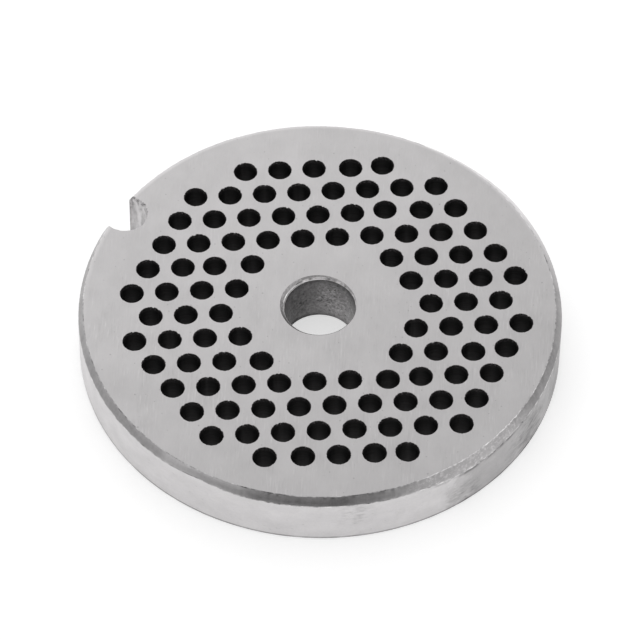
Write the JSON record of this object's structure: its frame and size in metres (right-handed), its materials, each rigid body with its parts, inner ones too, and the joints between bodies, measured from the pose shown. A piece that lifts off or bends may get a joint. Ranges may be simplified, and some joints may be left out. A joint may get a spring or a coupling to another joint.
{
  "type": "meat grinder plate",
  "caption": "Round steel meat grinder plate with a drilled hole field, a centre bore for the worm's stud and a half-round locating notch in the rim.",
  "frame": {"origin": "on the axis of the bore and the rim, at the lower face that the plate lies on", "axes": "+Z along the bore axis, up towards the face with the rim lead-in; -X from the axis towards the locating notch"},
  "size_m": [0.0819, 0.082, 0.0105],
  "materials": {
    "ground_steel": "ground faces with fine straight grinding lines, turned rim"
  },
  "bodies": {
    "root": {"grinder_plate": "ground_steel"}
  },
  "joints": []
}
